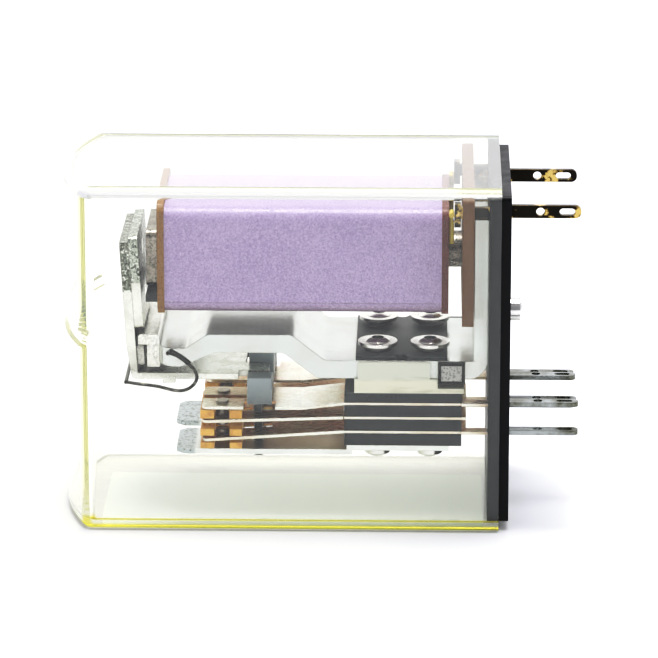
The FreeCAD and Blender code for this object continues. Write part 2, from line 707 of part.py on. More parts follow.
def spring_blank(centre, z, notch):
    """Free part of a spring: forked tip with twin contact holes."""
    half = STACK_WIDTH / 2 - 0.05
    blank = box(SPRING_TIP_X, STACK_LEFT_X, centre - half, centre + half, z - STRIP / 2,
                z + STRIP / 2)
    tip = edges_along(blank, Z_AXIS, lambda e: e.Vertexes[0].Point.x < SPRING_TIP_X + 0.01)
    blank = blank.makeFillet(0.5, tip)
    slot = box(SPRING_TIP_X - 1, FORK_ROOT_X, centre - FORK_SLOT / 2, centre + FORK_SLOT / 2,
               z - 1, z + 1)
    blank = blank.cut(slot)
    for side in (-1, 1):
        blank = blank.cut(rod(Vec(CONTACT_X, centre + side * CONTACT_SPREAD, z - 1),
                              CONTACT_SHANK, 2, Z_AXIS))
    if notch:
        side = math.copysign(1, centre)
        outer = side * (STACK_OFFSET + STACK_WIDTH / 2 + 1)
        inner = side * (COMB_HALF_Y - 0.9)
        blank = blank.cut(box(COMB_LEFT_X - 0.3, COMB_RIGHT_X + 0.3, min(outer, inner),
                              max(outer, inner), z - 1, z + 1))
    return blank


def strip_root(centre, z, pin_y):
    """Clamped part of a strip with its tail, which leads to a terminal blade."""
    half = STACK_WIDTH / 2 - 0.05
    root = box(STACK_LEFT_X, STACK_RIGHT_X + 0.4, centre - half, centre + half, z - STRIP / 2,
               z + STRIP / 2)
    root = drilled(root, INSULATED_HOLE - RIVET_RADIUS)
    tail = box(STACK_RIGHT_X, -BASE_THICKNESS, pin_y - PIN_WIDTH / 2, pin_y + PIN_WIDTH / 2,
               z - STRIP / 2, z + STRIP / 2)
    return root.fuse([tail, contact_blade(pin_y, z)]).removeSplitter()


def break_height():
    """Height of the level part of a break spring."""
    return BREAK_Z - (STACK_LEFT_X - BREAK_KNEE_X) * math.tan(math.radians(BREAK_DIP))


def ramp(centre, start, end):
    """Sloping strip between two (x, z) points of a spring's middle line."""
    half = STACK_WIDTH / 2 - 0.05
    above = STRIP / 2
    outline = [
        (start[0], start[1] - above),
        (end[0], end[1] - above),
        (end[0], end[1] + above),
        (start[0], start[1] + above),
    ]
    return prism_xz(outline, centre - half, centre + half)


def break_spring(centre):
    """Break spring: it dips from the stack to a knee and then runs level to its forked tip."""
    level = break_height()
    beyond_knee = box(BREAK_KNEE_X, 0, -20, 20, -20, 20)
    free = spring_blank(centre, level, True).cut(beyond_knee)
    slope = ramp(centre, (STACK_LEFT_X, BREAK_Z), (BREAK_KNEE_X, level))
    root = strip_root(centre, BREAK_Z, centre - PIN_OFFSET)
    return free.fuse([slope, root]).removeSplitter()


def make_spring(centre):
    """Make spring: straight, sloping down from the stack."""
    free = turned(spring_blank(centre, MAKE_Z, False), STACK_LEFT_X, MAKE_Z, -MAKE_SLOPE)
    reach = 0.3
    rise = reach * math.tan(math.radians(MAKE_SLOPE))
    bridge = ramp(centre, (STACK_LEFT_X - reach, MAKE_Z - rise), (STACK_LEFT_X, MAKE_Z))
    return free.fuse([bridge, strip_root(centre, MAKE_Z, centre - PIN_OFFSET)]).removeSplitter()


def common_terminal(centre):
    return strip_root(centre, MOVING_Z, centre + PIN_OFFSET)


def moving_spring(centre):
    """Moving spring: it starts just outside the stack and turns about the stack's edge."""
    blank = spring_blank(centre, MOVING_Z, False)
    blank = blank.cut(box(STACK_LEFT_X - 0.1, 0, -20, 20, -20, 20))
    return turned(blank, STACK_LEFT_X, MOVING_Z, -MOVING_SLOPE)


def height_at_contact(z, slope):
    return z - (STACK_LEFT_X - CONTACT_X) * math.tan(math.radians(slope))


def contact_heights():
    """Standing height of the contact faces: break pair, then make pair."""
    break_gap = break_height() - height_at_contact(MOVING_Z, MOVING_SLOPE)
    make_gap = height_at_contact(MOVING_Z, MOVING_SLOPE) - height_at_contact(MAKE_Z, MAKE_SLOPE)
    return (break_gap - STRIP - 0.03) / 2, (make_gap - STRIP - CONTACT_GAP) / 2


def contact_rivets(centre, z, slope, above, below):
    rivets = []
    for side in (-1, 1):
        y = centre + side * CONTACT_SPREAD
        upper = rod(Vec(CONTACT_X, y, z + STRIP / 2), CONTACT_RADIUS, above, Z_AXIS)
        lower = rod(Vec(CONTACT_X, y, z - STRIP / 2 - below), CONTACT_RADIUS, below, Z_AXIS)
        shank = rod(Vec(CONTACT_X, y, z - STRIP / 2), CONTACT_SHANK, STRIP, Z_AXIS)
        rivet = shank.fuse([upper, lower]).removeSplitter()
        rivets.append(turned(rivet, STACK_LEFT_X, z, -slope))
    return rivets


def break_contacts():
    rivets = []
    for centre in stack_centres().values():
        rivets += contact_rivets(centre, break_height(), 0, CONTACT_BACK, contact_heights()[0])
    return group(rivets)


def make_contacts():
    rivets = []
    for centre in stack_centres().values():
        rivets += contact_rivets(centre, MAKE_Z, MAKE_SLOPE, contact_heights()[1], CONTACT_BACK)
    return group(rivets)


def moving_contacts(centre):
    above, below = contact_heights()
    return group(contact_rivets(centre, MOVING_Z, MOVING_SLOPE, above, below))


def stack_spacers():
    """Pale spacers between the yoke and the stacks, each with a lip over the yoke's edge."""
    spacers = []
    yoke_low_z = YOKE_DECK_Z - YOKE_THICKNESS
    for centre in stack_centres().values():
        y0 = centre - STACK_WIDTH / 2
        y1 = centre + STACK_WIDTH / 2
        outer = math.copysign(STACK_OFFSET + STACK_WIDTH / 2, centre)
        face = math.copysign(YOKE_HALF_Y, centre)
        thin = box(SPACER_LEFT_X, SPACER_FRONT_X, y0, y1, STACK_TOP_Z, SPACER_STEP_Z)
        thick = box(SPACER_LEFT_X, NUT_X - NUT_HALF_X, y0, y1, SPACER_STEP_Z, yoke_low_z)
        lip = box(SPACER_LIP_X[0], SPACER_LIP_X[1], min(outer, face), max(outer, face),
                  SPACER_STEP_Z, YOKE_DECK_Z - 0.1)
        spacers.append(drilled(thin.fuse([thick, lip]).removeSplitter()))
    return group(spacers)


def stack_insulators():
    half_strip = STRIP / 2
    levels = [
        (STACK_TOP_Z, BREAK_Z + half_strip),
        (BREAK_Z - half_strip, MOVING_Z + half_strip),
        (MOVING_Z - half_strip, MAKE_Z + half_strip),
        (MAKE_Z - half_strip, STACK_BOTTOM_Z),
    ]
    plates = []
    for centre in stack_centres().values():
        for top, bottom in levels:
            plate = box(STACK_LEFT_X, STACK_RIGHT_X, centre - STACK_WIDTH / 2,
                        centre + STACK_WIDTH / 2, bottom, top)
            plates.append(drilled(plate))
    return group(plates)


def clamp_plate(name, centre):
    """Steel plate under a stack; its free part lies a step lower and ends chamfered."""
    left = CLAMP_LEFT_X[name]
    y0 = centre - STACK_WIDTH / 2
    y1 = centre + STACK_WIDTH / 2
    low = STACK_BOTTOM_Z - CLAMP_PLATE
    clamped = box(CLAMP_STEP_X - CLAMP_PLATE, CLAMP_RIGHT_X, y0, y1, low, STACK_BOTTOM_Z)
    free = box(left, CLAMP_STEP_X, y0, y1, low - CLAMP_DROP, STACK_BOTTOM_Z - CLAMP_DROP)
    corners = edges_along(free, Z_AXIS, lambda e: e.Vertexes[0].Point.x < left + 0.01)
    free = free.makeChamfer(0.7, corners)
    window = box(LEG_X - 0.55, LEG_X + 0.55, centre - 0.55, centre + 0.55, -10, -8)
    return drilled(free.fuse(clamped).removeSplitter().cut(window))


def stack_rivets():
    """Hollow rivets: a dished head on each washer, and a long foot under the clamp plate."""
    rivets = []
    low_z = STACK_BOTTOM_Z - CLAMP_PLATE
    foot_z = low_z - RIVET_FOOT
    washer_z = YOKE_DECK_Z + SHEET_UNDER_WASHERS + COLLAR + WASHER
    for centre in stack_centres().values():
        for x in RIVET_X:
            shank = rod(Vec(x, centre, low_z), RIVET_RADIUS, washer_z - low_z, Z_AXIS)
            foot = rod(Vec(x, centre, foot_z), RIVET_HEAD_RADIUS, RIVET_FOOT, Z_AXIS)
            tip = dome(x, centre, foot_z, -1)
            head = dome(x, centre, washer_z, 1)
            dish = rod(Vec(x, centre, washer_z - RIVET_HEAD), RIVET_BORE, 3 * RIVET_HEAD, Z_AXIS)
            rivet = shank.fuse([foot, tip, head]).removeSplitter()
            rivets.append(rivet.cut(dish))
    return group(rivets)


def dome(x, y, z, side):
    """Flat spherical rivet head on a surface at height z, standing up or hanging down."""
    sphere_radius = (RIVET_HEAD_RADIUS ** 2 + RIVET_HEAD ** 2) / (2 * RIVET_HEAD)
    centre_z = z - side * (sphere_radius - RIVET_HEAD)
    ball = Part.makeSphere(sphere_radius, Vec(x, y, centre_z))
    slab_z0 = min(z, z + side * RIVET_HEAD)
    slab_z1 = max(z, z + side * RIVET_HEAD)
    return ball.common(box(x - 3, x + 3, y - 3, y + 3, slab_z0, slab_z1))


def rivet_washers():
    """Flanged washers: a wide ring on a collar that stands on the insulating sheet."""
    washers = []
    sheet_z = YOKE_DECK_Z + SHEET_UNDER_WASHERS
    for centre in stack_centres().values():
        for x in RIVET_X:
            collar = rod(Vec(x, centre, sheet_z), COLLAR_RADIUS, COLLAR, Z_AXIS)
            ring = rod(Vec(x, centre, sheet_z + COLLAR), WASHER_RADIUS, WASHER, Z_AXIS)
            washers.append(drilled(collar.fuse(ring).removeSplitter()))
    return group(washers)


def yoke_insulating_sheet():
    """Thin sheet under the washers, notched in the middle of both long edges."""
    left, right = SHEET_X
    middle = (left + right) / 2
    top_z = YOKE_DECK_Z + SHEET_UNDER_WASHERS
    sheet = box(left, right, -SHEET_HALF_Y, SHEET_HALF_Y, YOKE_DECK_Z, top_z)
    sheet = sheet.makeFillet(0.25, edges_along(sheet, Z_AXIS))
    for side in (-1, 1):
        start = Vec(middle, side * SHEET_HALF_Y, YOKE_DECK_Z - 1)
        sheet = sheet.cut(rod(start, SHEET_NOTCH_RADIUS, 2, Z_AXIS))
    return drilled(sheet)


def contact_guide_blocks():
    """Amber blocks that hold the spring tips: layers joined by a web in the fork slot."""
    free_plate_z = STACK_BOTTOM_Z - CLAMP_DROP
    layers = GUIDE_LAYERS_Z + [(free_plate_z, GUIDE_LOW_LAYER_TOP_Z)]
    blocks = []
    for centre in stack_centres().values():
        y0 = centre - STACK_WIDTH / 2 + 0.05
        y1 = centre + STACK_WIDTH / 2 - 0.05
        solid = box(GUIDE_LEFT_X, GUIDE_RIGHT_X, centre - WEB_HALF_Y, centre + WEB_HALF_Y, free_plate_z,
                    layers[0][1])
        for low, high in layers:
            for x0, x1 in ((GUIDE_LEFT_X, GUIDE_POCKET_X[0]), (GUIDE_POCKET_X[1], GUIDE_RIGHT_X)):
                solid = solid.fuse(box(x0, x1, y0, y1, low, high))
        blocks.append(solid.removeSplitter())
    return group(blocks)


def framed_block(side, rim, height):
    """Block on the yoke's near or far edge, smaller all round by a rim and so much proud."""
    face = side * YOKE_HALF_Y
    crown = side * (YOKE_HALF_Y + height)
    half_x = NUT_HALF_X - rim
    half_z = NUT_HALF_Z - rim
    return box(NUT_X - half_x, NUT_X + half_x, min(face, crown), max(face, crown),
               NUT_Z - half_z, NUT_Z + half_z)


def clamp_nuts():
    frames = []
    for side in (-1, 1):
        block = framed_block(side, 0, NUT_HEIGHT)
        frames.append(block.cut(framed_block(side, NUT_RIM, NUT_HEIGHT)))
    return group(frames)


def clamp_pins():
    return group([framed_block(side, NUT_RIM, NUT_HEIGHT - 0.08) for side in (-1, 1)])


# ---------------------------------------------------------------- export
def build():
    nodes = {
        "cover_cap": cover_cap(),
        "side_label": side_label(),
        "base_plate": base_plate(),
        "guide_stud": guide_stud(),
        "yoke": yoke(),
        "core": core(),
        "pole_shoe": pole_shoe(),
        "bobbin": bobbin(),
        "coil_winding": coil_winding(),
        "coil_wrap": coil_wrap(),
        "coil_terminal_plate": coil_terminal_plate(),
        "coil_terminal_front": coil_terminal(-1),
        "coil_terminal_rear": coil_terminal(1),
        "coil_leads": coil_leads(),
        "stop_block": stop_block(),
        "armature_lever": armature_lever(),
        "armature_plate": armature_plate(),
        "armature_rivets": armature_rivets(),
        "armature_bearing_pad": armature_bearing_pad(),
        "bearing_bracket": bearing_bracket(),
        "return_spring": return_spring(),
        "drive_comb": drive_comb(),
        "break_contacts": break_contacts(),
        "make_contacts": make_contacts(),
        "stack_spacers": stack_spacers(),
        "stack_insulators": stack_insulators(),
        "stack_rivets": stack_rivets(),
        "rivet_washers": rivet_washers(),
        "yoke_insulating_sheet": yoke_insulating_sheet(),
        "contact_guide_blocks": contact_guide_blocks(),
        "clamp_nuts": clamp_nuts(),
        "clamp_pins": clamp_pins(),
    }
    for name, centre in stack_centres().items():
        nodes["break_spring_" + name] = break_spring(centre)
        nodes["make_spring_" + name] = make_spring(centre)
        nodes["common_terminal_" + name] = common_terminal(centre)
        nodes["moving_spring_" + name] = moving_spring(centre)
        nodes["moving_contacts_" + name] = moving_contacts(centre)
        nodes["clamp_plate_" + name] = clamp_plate(name, centre)
    return nodes


os.makedirs("parts", exist_ok=True)
for node_name, node_shape in build().items():
    node_shape.exportStep(os.path.join("parts", node_name + ".step"))
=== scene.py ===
import math

import bmesh
import bpy
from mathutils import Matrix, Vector


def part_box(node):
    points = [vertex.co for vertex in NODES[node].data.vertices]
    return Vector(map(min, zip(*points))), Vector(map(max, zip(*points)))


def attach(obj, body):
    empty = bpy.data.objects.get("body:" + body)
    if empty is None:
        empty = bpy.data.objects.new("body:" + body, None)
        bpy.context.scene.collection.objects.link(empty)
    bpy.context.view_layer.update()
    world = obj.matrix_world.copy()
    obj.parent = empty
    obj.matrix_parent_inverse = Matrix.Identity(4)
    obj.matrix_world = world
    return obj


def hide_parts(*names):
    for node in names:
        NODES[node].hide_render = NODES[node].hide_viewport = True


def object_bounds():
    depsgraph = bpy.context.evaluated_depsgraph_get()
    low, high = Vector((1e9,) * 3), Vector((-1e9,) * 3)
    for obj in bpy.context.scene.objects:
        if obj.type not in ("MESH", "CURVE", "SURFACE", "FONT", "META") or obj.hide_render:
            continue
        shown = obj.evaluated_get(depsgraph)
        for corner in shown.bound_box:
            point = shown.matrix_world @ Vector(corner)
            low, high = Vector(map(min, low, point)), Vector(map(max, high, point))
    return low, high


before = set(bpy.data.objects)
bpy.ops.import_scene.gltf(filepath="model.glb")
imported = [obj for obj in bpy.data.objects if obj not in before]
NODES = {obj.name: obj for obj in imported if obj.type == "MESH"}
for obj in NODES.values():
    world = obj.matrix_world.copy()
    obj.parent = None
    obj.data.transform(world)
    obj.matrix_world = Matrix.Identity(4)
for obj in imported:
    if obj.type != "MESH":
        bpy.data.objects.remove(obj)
CAD_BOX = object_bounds()

MM = 0.001                     # the frame is in metres; small sizes below are written as n * MM

# Camera: a long lens a little to the terminal side of straight on, looking down on the relay.
CAMERA_YAW = math.radians(-1.38)
CAMERA_TILT = math.radians(16.36)
CAMERA_DISTANCE = 380 * MM
CAMERA_LENS = 236.6
CAMERA_SENSOR = 36.0
CAMERA_TARGET = Vector((-15.75 * MM, 0, 0.03 * MM))

ROOM_FRONT = 0.30             # brightness of the room seen from the relay, by direction
ROOM_SIDE = 0.6
ROOM_BACK = 1.35

TONE_POINTS = ((0.08, 0.035), (0.3, 0.27), (0.6, 0.64))
BLUE_POINTS = ((0.5, 0.52), (0.85, 0.90))

PLASTIC_IOR = 1.49
CAP_TINT = (0.88, 0.84, 0.42)     # colour kept by the plastic, for each unit of density
CAP_DENSITY = 100.0               # per metre
CAP_HAZE = (0.84, 0.82, 0.34)     # colour of a long way through the plastic: scattered room light

# Zones where a look changes, in millimetres: from the first value to the second.
CAP_LOW_EDGE_Z = (-13.9, -14.3)
CAP_NEAR_EDGE_Y = (-8.6, -9.2)
CAP_TOP_EDGE_Z = (14.4, 14.5)
CAP_FAR_EDGE_Y = (9.2, 9.3)
CAP_MOUTH_X = (-5.4, -4.2)
BOBBIN_X = (-20, -15)
BLADES_X = (-2.0, -1.6)
CLAMP_END_X = (-27.1, -27.4)
SPACER_LIP_Z = (-2.6, -2.2)
COMB_BODY_Z = (-4.8, -2.9)
COMB_FOOT_Z = (-5.0, -5.2)
LABEL_X = (-35, -4)
LEVER_DARK_Z = 4.7                # the leaf is dark and mottled above this height
LEAF_DARK_Z = 5.5


# ---------------------------------------------------------------- node helpers
class Look:
    """A material under construction: short calls that add and join shader nodes."""

    def __init__(self, name):
        self.material = bpy.data.materials.new(name)
        self.material.use_nodes = True
        self.tree = self.material.node_tree
        self.tree.nodes.clear()
        self.output = self.tree.nodes.new("ShaderNodeOutputMaterial")

    def add(self, kind, sockets=None, **settings):
        node = self.tree.nodes.new("ShaderNode" + kind)
        for name, value in settings.items():
            setattr(node, name, value)
        for name, value in (sockets or {}).items():
            self.feed(node.inputs[name], value)
        return node

    def feed(self, socket, value):
        if isinstance(value, bpy.types.NodeSocket):
            self.tree.links.new(value, socket)
        elif socket.type == "RGBA" and not hasattr(value, "__len__"):
            socket.default_value = (value, value, value, 1)
        elif socket.type == "RGBA":
            socket.default_value = (*value[:3], 1)
        else:
            socket.default_value = value

    def place(self, stretch=(1, 1, 1)):
        """Position on the object in millimetres, with each axis stretched."""
        coord = self.add("TexCoord")
        scale = tuple(1000 * s for s in stretch)
        mapping = self.add("Mapping", {"Vector": coord.outputs["Object"], "Scale": scale})
        return mapping.outputs["Vector"]

    def noise(self, per_mm, detail=3, roughness=0.55, stretch=(1, 1, 1), distortion=0):
        node = self.add("TexNoise", {"Vector": self.place(stretch), "Scale": per_mm,
                                     "Detail": detail, "Roughness": roughness,
                                     "Distortion": distortion})
        return node.outputs["Fac"]

    def cells(self, per_mm):
        node = self.add("TexVoronoi", {"Vector": self.place(), "Scale": per_mm})
        return node.outputs["Distance"]

    def span(self, value, low, high, to_low=0, to_high=1):
        node = self.add("MapRange", {"Value": value, "From Min": low, "From Max": high,
                                     "To Min": to_low, "To Max": to_high})
        return node.outputs["Result"]

    def math(self, operation, first, second=0.0):
        node = self.add("Math", operation=operation)
        self.feed(node.inputs[0], first)
        self.feed(node.inputs[1], second)
        return node.outputs["Value"]

    def mix(self, factor, first, second, blend="MIX"):
        node = self.add("Mix", data_type="RGBA", blend_type=blend)
        self.feed(node.inputs["Factor"], factor)
        self.feed(node.inputs["A"], first)
        self.feed(node.inputs["B"], second)
        return node.outputs["Result"]

    def blend(self, factor, first, second):
        """Mix of two shaders."""
        node = self.add("MixShader")
        self.feed(node.inputs[0], factor)
        self.feed(node.inputs[1], first)
        self.feed(node.inputs[2], second)
        return node.outputs["Shader"]

    def axis(self, name):
        """One coordinate of the point being shaded, in millimetres."""
        split = self.add("SeparateXYZ", {"Vector": self.place()})
        return split.outputs[name]

    def edge(self, radius=0.12):
        """1 on edges sharper than the radius in millimetres, 0 on open faces; and a rounded normal."""
        bevel = self.add("Bevel", {"Radius": radius * MM}, samples=6)
        geometry = self.add("NewGeometry")
        dot = self.add("VectorMath", operation="DOT_PRODUCT")
        self.feed(dot.inputs[0], bevel.outputs["Normal"])
        self.feed(dot.inputs[1], geometry.outputs["Normal"])
        return self.span(dot.outputs["Value"], 0.995, 0.8), bevel.outputs["Normal"]

    def facing(self, name):
        """One part of the direction that the surface faces."""
        geometry = self.add("NewGeometry")
        split = self.add("SeparateXYZ", {"Vector": geometry.outputs["Normal"]})
        return split.outputs[name]

    def shelter(self, reach):
        """1 in the open, 0 deep in gaps narrower than the reach in millimetres."""
        node = self.add("AmbientOcclusion", {"Distance": reach * MM}, samples=4)
        return node.outputs["AO"]

    def bump(self, height, depth, normal=None):
        """Relief whose full height is depth millimetres."""
        sockets = {"Height": height, "Distance": depth * MM, "Strength": 1.0}
        if normal is not None:
            sockets["Normal"] = normal
        return self.add("Bump", sockets).outputs["Normal"]

    def surface(self, sockets):
        shader = self.add("BsdfPrincipled", sockets)
        return self.finish(shader.outputs["BSDF"])

    def finish(self, shader):
        self.tree.links.new(shader, self.output.inputs["Surface"])
        return self.material


# ---------------------------------------------------------------- materials
def clear_plastic():
    """Aged clear cap: refracts, absorbs blue in its thick edges, and is scuffed a little. Its skin
    carries painted light: white top edges as if lit from above, a near-black far top edge as painted
    shade, and a yellow near lower edge as painted edge light.
    """
    look = Look("clear_cap")
    scuffs = look.noise(0.9, 6, 0.7)
    scuffed = look.span(scuffs, 0.5, 0.8, 0.0, 0.03)
    rounded = look.add("Attribute", attribute_name="rounded", attribute_type="GEOMETRY")
    # Painted edge light: on the camera side only, the near lower rounded edge gets a yellow glass
    # colour.
    low_near = look.math("MULTIPLY", look.span(look.axis("Z"), *CAP_LOW_EDGE_Z),
                         look.span(look.axis("Y"), *CAP_NEAR_EDGE_Y))
    low = look.math("MULTIPLY", rounded.outputs["Fac"], low_near)
    high_far = look.math("MULTIPLY", look.span(look.axis("Z"), *CAP_TOP_EDGE_Z),
                         look.span(look.axis("Y"), *CAP_FAR_EDGE_Y))
    grazing = look.add("LayerWeight", {"Blend": 0.5}).outputs["Facing"]
    far = look.math("MULTIPLY", look.span(grazing, 0.45, 0.6), high_far)
    tone = look.mix(low, (0.985, 0.985, 0.975), (0.95, 0.88, 0.30))
    glass = look.add("BsdfGlass", {"Color": tone, "Roughness": scuffed, "IOR": PLASTIC_IOR})
    passed = look.mix(rounded.outputs["Fac"], (0.97, 0.97, 0.96), (0.30, 0.30, 0.28))
    through = look.add("BsdfTransparent", {"Color": passed})
    path = look.add("LightPath")
    indirect = look.math("MAXIMUM", path.outputs["Is Shadow Ray"], path.outputs["Is Diffuse Ray"])
    # Painted light: a white diffuse skin on the top rounded edges, fainter near the mouth, stands in
    # for the overhead light on them.
    painted_top_edge_light = look.add("BsdfDiffuse", {"Color": (0.95, 0.95, 0.93)})
    top_edge = look.add("Attribute", attribute_name="top_edge", attribute_type="GEOMETRY")
    white = look.span(look.axis("X"), *CAP_MOUTH_X, 0.8, 0.25)
    white = look.math("MULTIPLY", white, look.span(far, 0, 1, 1, 0))
    white = look.math("MULTIPLY", top_edge.outputs["Fac"], white)
    skin = look.blend(white, glass.outputs["BSDF"], painted_top_edge_light.outputs["BSDF"])
    # Painted shade: a near-black diffuse skin on the far top edge, where it is seen at a grazing angle.
    painted_far_edge_shade = look.add("BsdfDiffuse", {"Color": (0.05, 0.052, 0.052)})
    skin = look.blend(look.math("MULTIPLY", far, 0.9), skin, painted_far_edge_shade.outputs["BSDF"])
    shader = look.blend(indirect, skin, through.outputs["BSDF"])
    tint = look.add("VolumeAbsorption", {"Color": CAP_TINT, "Density": CAP_DENSITY})
    glow = tuple((1 - kept) * CAP_DENSITY * haze for kept, haze in zip(CAP_TINT, CAP_HAZE))
    scattered = look.add("Emission", {"Color": tuple(g / glow[2] for g in glow), "Strength": glow[2]})
    body = look.add("AddShader")
    look.feed(body.inputs[0], tint.outputs["Volume"])
    look.feed(body.inputs[1], scattered.outputs["Emission"])
    look.tree.links.new(body.outputs["Shader"], look.output.inputs["Volume"])
    return look.finish(shader)


def moulded(name, colour, roughness=0.4, grain=0.012, spread=0.15, wear=(1.6, 0.35)):
    """Moulded or pressed plastic: fine grain, soft mottling and slightly polished edges."""
    look = Look(name)
    edge, rounded = look.edge()
    mottle = look.noise(0.45, 4)
    fine = look.noise(9, 3)
    darker = tuple(c * (1 - spread) for c in colour)
    lighter = tuple(min(1, c * (1 + spread)) for c in colour)
    body = look.mix(look.span(mottle, 0.3, 0.7), darker, lighter)
    worn = tuple(min(1, c * wear[0]) for c in colour)
    body = look.mix(look.math("MULTIPLY", edge, wear[1]), body, worn)
    rough = look.span(mottle, 0.3, 0.7, roughness * 0.85, roughness * 1.2)
    return look.surface({"Base Color": body, "Roughness": rough, "Specular IOR Level": 0.35,
                         "Normal": look.bump(fine, grain, rounded)})


def plated(name, colour, roughness=0.3, stain=(0.5, 0.45, 0.38), stain_amount=0.35,
           brush=(1, 1, 1), speckle=0.0, painted_gap_shade=0.0, edge_wear_and_shade=(0.92, 0.9, 0.86)):
    """Plated sheet metal: drawn lines, cloudy stains, small pits, painted shade in narrow gaps, and a
    tint on the edges: light tints are wear, dark tints are painted shaded outlines.
    """
    look = Look(name)
    edge, rounded = look.edge(0.1)
    clouds = look.noise(0.35, 5, 0.6)
    lines = look.noise(7, 2, 0.6, brush)
    pits = look.cells(2.2)
    tint = look.mix(look.span(clouds, 0.45, 0.75, 0, stain_amount), colour, stain)
    if speckle:
        spots = look.span(look.noise(3.2, 6, 0.8), 0.5, 0.58, 0, speckle)
        tint = look.mix(spots, tint, (0.07, 0.07, 0.06))
    # Edges: light tints are wear; dark tints are painted shaded outlines.
    tint = look.mix(look.math("MULTIPLY", edge, 0.6), tint, edge_wear_and_shade)
    # Painted shade: darker in narrow gaps, by ambient occlusion.
    if painted_gap_shade:
        tint = look.mix(look.span(look.shelter(2.0), 0.8, 0.35, 0, painted_gap_shade), tint, (0.05, 0.045, 0.035))
    rough = look.math("ADD", look.span(lines, 0.3, 0.7, roughness * 0.75, roughness * 1.25),
                      look.span(pits, 0, 0.15, 0.15, 0))
    height = look.math("ADD", look.math("MULTIPLY", lines, 0.6), look.span(clouds, 0.3, 0.7, 0, 0.4))
    return look.surface({"Base Color": tint, "Metallic": 1.0, "Roughness": rough,
                         "Normal": look.bump(height, 0.01, rounded)})


def violet_tape():
    """Violet film tape round the coil: satin, fibrous, greyer where it is not overlapped, and painted
    dark on its underside as shade.
    """
    look = Look("violet_wrap")
    turns = look.add("TexWave", {"Vector": look.place(), "Scale": 0.55, "Distortion": 0.4,
                                 "Detail": 2}, bands_direction="X")
    fibre = look.noise(6, 5, 0.9)
    clouds = look.noise(0.18, 3)
    body = look.mix(look.span(clouds, 0.3, 0.7), (0.43, 0.32, 0.60), (0.51, 0.39, 0.68))
    # Painted shade: the downward-facing tape is darkened.
    under = look.span(look.facing("Z"), -0.5, -0.9)
    body = look.mix(under, body, (0.05, 0.03, 0.055))
    seam = look.math("ABSOLUTE", look.math("SUBTRACT", look.axis("Z"), TAPE_SEAM_Z / MM))
    body = look.mix(look.span(seam, 0.09, 0.02, 0, 0.5), body, (0.10, 0.06, 0.12))
    low_band = look.span(look.axis("Z"), TAPE_SEAM_Z / MM, TAPE_SEAM_Z / MM - 0.4, 0, 0.55)
    body = look.mix(low_band, body, (0.30, 0.19, 0.27))
    body = look.mix(look.span(fibre, 0.5, 0.62, 0, 0.7), body, (0.74, 0.62, 0.86))
    body = look.mix(look.span(fibre, 0.48, 0.38, 0, 0.6), body, (0.20, 0.14, 0.33))
    height = look.math("ADD", look.math("MULTIPLY", turns.outputs["Fac"], 0.35), fibre)
    return look.surface({"Base Color": body, "Roughness": look.span(fibre, 0.3, 0.7, 0.38, 0.55),
                         "Coat Weight": 0.4, "Coat Roughness": 0.12,
                         "Normal": look.bump(height, 0.03)})


def pressed_board():
    """Flanges of the bobbin: tan at the armature end, maroon at the terminal end."""
    look = Look("bobbin_brown")
    edge, rounded = look.edge(0.1)
    fibre = look.noise(5, 5, 0.8)
    end = look.span(look.axis("X"), *BOBBIN_X)
    body = look.mix(end, (0.27, 0.13, 0.03), (0.14, 0.03, 0.02))
    body = look.mix(look.span(fibre, 0.5, 0.7, 0, 0.5), body, look.mix(end, (0.46, 0.25, 0.08),
                                                                       (0.26, 0.09, 0.06)))
    body = look.mix(look.span(fibre, 0.47, 0.38, 0, 0.85), body, (0.04, 0.02, 0.008))
    body = look.mix(look.math("MULTIPLY", edge, 0.2), body, (0.5, 0.3, 0.14))
    return look.surface({"Base Color": body, "Roughness": 0.45,
                         "Normal": look.bump(fibre, 0.015, rounded)})


def copper_winding():
    look = Look("copper_wire")
    turns = look.add("TexWave", {"Vector": look.place(), "Scale": 3.2}, bands_direction="X")
    tint = look.mix(look.noise(0.6, 3), (0.5, 0.19, 0.07), (0.72, 0.33, 0.14))
    return look.surface({"Base Color": tint, "Metallic": 0.85, "Roughness": 0.32,
                         "Normal": look.bump(turns.outputs["Fac"], 0.06)})


def laminate(name, colour, fibre_colour, roughness=0.45):
    """Phenolic paper board: directional fibre, and darker cut edges."""
    look = Look(name)
    edge, rounded = look.edge(0.08)
    fibre = look.noise(6, 6, 0.85, (1, 0.35, 0.8))
    clouds = look.noise(0.5, 4)
    body = look.mix(look.span(fibre, 0.35, 0.7), colour, fibre_colour)
    body = look.mix(look.span(clouds, 0.4, 0.8, 0, 0.35), body, tuple(c * 0.6 for c in colour))
    body = look.mix(look.math("MULTIPLY", edge, 0.4), body, tuple(c * 1.5 for c in fibre_colour))
    return look.surface({"Base Color": body, "Roughness": look.span(fibre, 0.3, 0.7, roughness,
                                                                      roughness + 0.2),
                         "Normal": look.bump(fibre, 0.015, rounded)})


